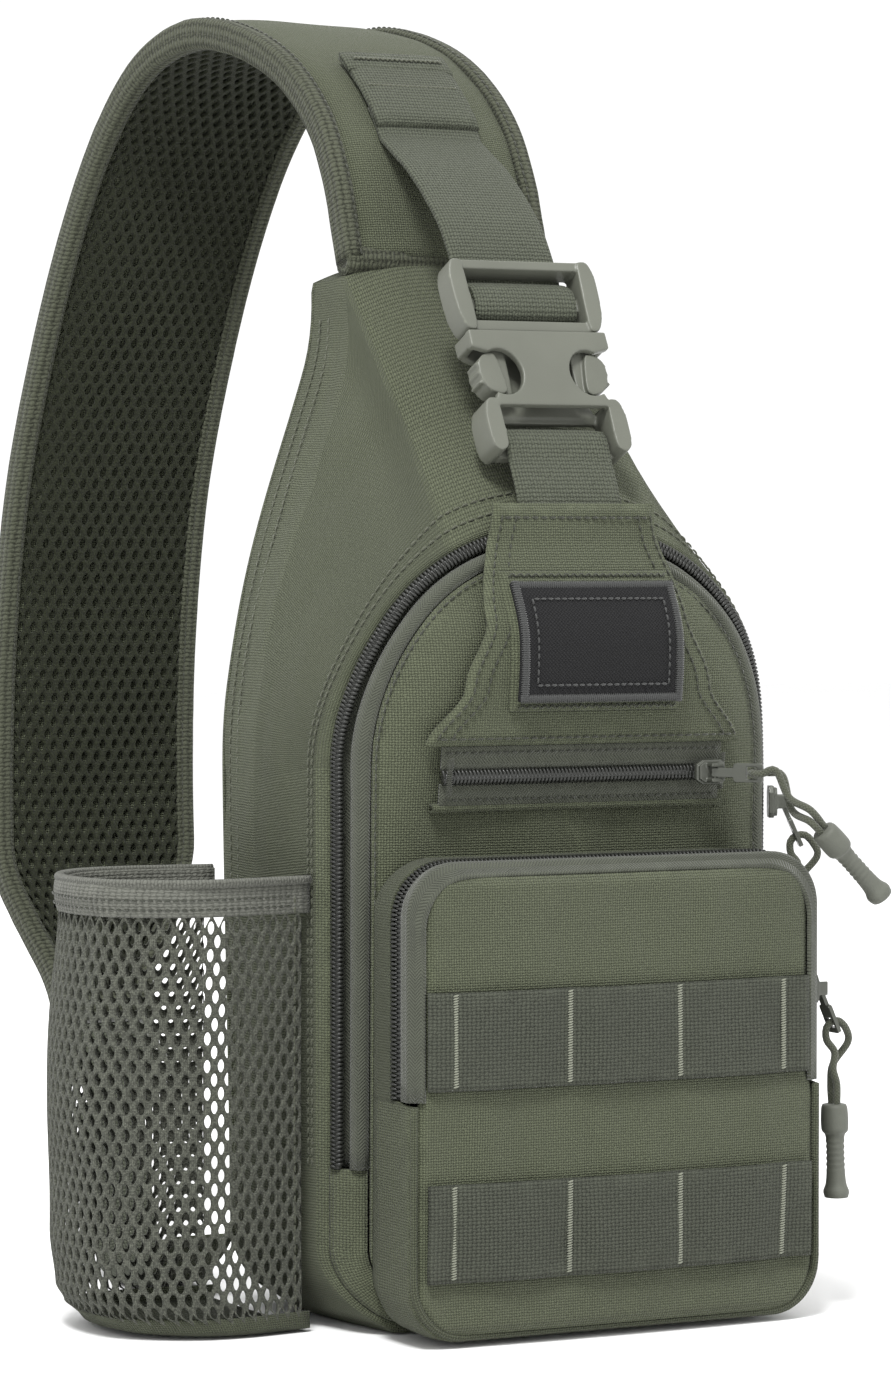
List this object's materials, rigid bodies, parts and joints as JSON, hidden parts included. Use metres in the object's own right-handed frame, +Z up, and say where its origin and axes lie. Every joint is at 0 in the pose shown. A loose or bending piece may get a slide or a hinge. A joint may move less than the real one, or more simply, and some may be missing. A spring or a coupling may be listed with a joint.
{
  "type": "sling bag",
  "caption": "One-shoulder sling bag with an arched main section, organizer and slit pockets, a mesh bottle pocket and a padded strap with a side-release buckle.",
  "frame": {"origin": "centre of the flat base that the bag stands on", "axes": "+Z up, +Y from the bag's front face towards its back panel, +X to the right of someone facing the front; the bottle pocket is on -X"},
  "size_m": [0.2478, 0.3102, 0.4235],
  "materials": {
    "oxford": "olive oxford weave",
    "webbing": "ribbed webbing",
    "binding": "ribbed grosgrain",
    "air_mesh": "spacer mesh",
    "pocket_mesh": "open hexagonal mesh",
    "elastic": "ribbed elastic",
    "foam": "closed-cell foam",
    "lining": "smooth lining",
    "board": "board",
    "coil": "nylon coil",
    "tape": "herringbone tape",
    "acetal": "satin moulded",
    "painted_metal": "satin paint",
    "cord": "braided",
    "rubber": "matte moulded",
    "patch_field": "embroidered",
    "patch_loop": "hook and loop"
  },
  "bodies": {
    "root": {"body_gusset": "oxford", "lid_panel": "oxford", "lid_hinge_strip": "oxford", "back_panel": "oxford", "yoke_panel": "oxford", "organizer_gusset": "oxford", "organizer_lower_front": "oxford", "strap_pad": "oxford", "strap_wing_tab": "oxford", "molle_webbing_lower": "webbing", "upper_webbing": "webbing", "lower_webbing": "webbing", "strap_webbing_anchor": "webbing", "strap_lower_webbing": "webbing", "strap_binding_left": "binding", "strap_binding_right": "binding", "strap_mesh_lining": "air_mesh", "back_mesh_pad": "air_mesh", "bottle_pocket_mesh": "pocket_mesh", "bottle_pocket_elastic": "elastic", "back_foam": "foam", "slip_pocket_lining": "lining", "base_stiffener": "board", "main_zip_coil": "coil", "slit_zip_coil": "coil", "main_zip_tape": "tape", "main_zip_piping": "tape", "slit_zip_tape_lower": "tape", "slit_zip_tape_upper": "tape", "buckle_female": "acetal", "strap_adjuster": "acetal", "patch": "patch_field", "patch_loop_base": "patch_loop"},
    "organizer_flap": {"organizer_flap": "oxford", "organizer_piping": "tape", "organizer_zip_coil": "coil", "molle_webbing_upper": "webbing"},
    "organizer_slider": {"organizer_slider": "painted_metal"},
    "organizer_puller": {"organizer_pull_tab": "painted_metal", "organizer_pull_cord": "cord", "organizer_pull_grip": "rubber"},
    "slit_slider": {"slit_slider": "painted_metal"},
    "slit_puller": {"slit_pull_tab": "painted_metal", "slit_pull_cord": "cord", "slit_pull_grip": "rubber"},
    "main_slider": {"main_slider": "painted_metal"},
    "main_puller": {"main_pull_tab": "painted_metal", "main_pull_cord": "cord", "main_pull_grip": "rubber"},
    "buckle_male": {"buckle_male_frame": "acetal"},
    "prong_left": {"buckle_prong_left": "acetal"},
    "prong_right": {"buckle_prong_right": "acetal"}
  },
  "joints": [
    {"name": "organizer_flap_fold", "type": "hinge", "parent": "root", "child": "organizer_flap", "pos_m": [0, -0.074, 0.0743], "axis": [1, 0, 0], "range_deg": [0, 75]},
    {"name": "organizer_slider_travel", "type": "slide", "parent": "root", "child": "organizer_slider", "axis": [0, 0, 1], "range_m": [-0.018, 0.022]},
    {"name": "organizer_pull_swing", "type": "hinge", "parent": "organizer_slider", "child": "organizer_puller", "pos_m": [0.079, -0.0596, 0.103], "axis": [0, -1, 0], "range_deg": [0, 75]},
    {"name": "slit_slider_travel", "type": "slide", "parent": "root", "child": "slit_slider", "axis": [1, 0, 0], "range_m": [-0.086, 0.001]},
    {"name": "slit_pull_swing", "type": "hinge", "parent": "slit_slider", "child": "slit_puller", "pos_m": [0.043, -0.05553, 0.1723], "axis": [0, 0, -1], "range_deg": [-4, 35]},
    {"name": "main_slider_travel", "type": "slide", "parent": "root", "child": "main_slider", "axis": [0, 0, 1], "range_m": [-0.075, 0.01]},
    {"name": "main_pull_swing", "type": "hinge", "parent": "main_slider", "child": "main_puller", "pos_m": [0.08298, -0.03066, 0.161], "axis": [-0.4311, -0.9023, 0], "range_deg": [0, 75]},
    {"name": "buckle_release", "type": "slide", "parent": "root", "child": "buckle_male", "axis": [0, 0.4384, 0.8988], "range_m": [0, 0.03], "deforming": ["buckle_prong_left", "buckle_prong_right", "upper_webbing"]},
    {"name": "prong_left_press", "type": "hinge", "parent": "buckle_male", "child": "prong_left", "pos_m": [-0.014, -0.01209, 0.30907], "axis": [0, -0.8988, 0.4384], "range_deg": [0, 7], "stiffness_Nm_per_rad": 0.3},
    {"name": "prong_right_press", "type": "hinge", "parent": "buckle_male", "child": "prong_right", "pos_m": [0.014, -0.01209, 0.30907], "axis": [0, 0.8988, -0.4384], "range_deg": [0, 7], "stiffness_Nm_per_rad": 0.3}
  ],
  "couplings": [
    {"joint": "prong_right_press", "follows": "prong_left_press", "ratio": 1}
  ]
}
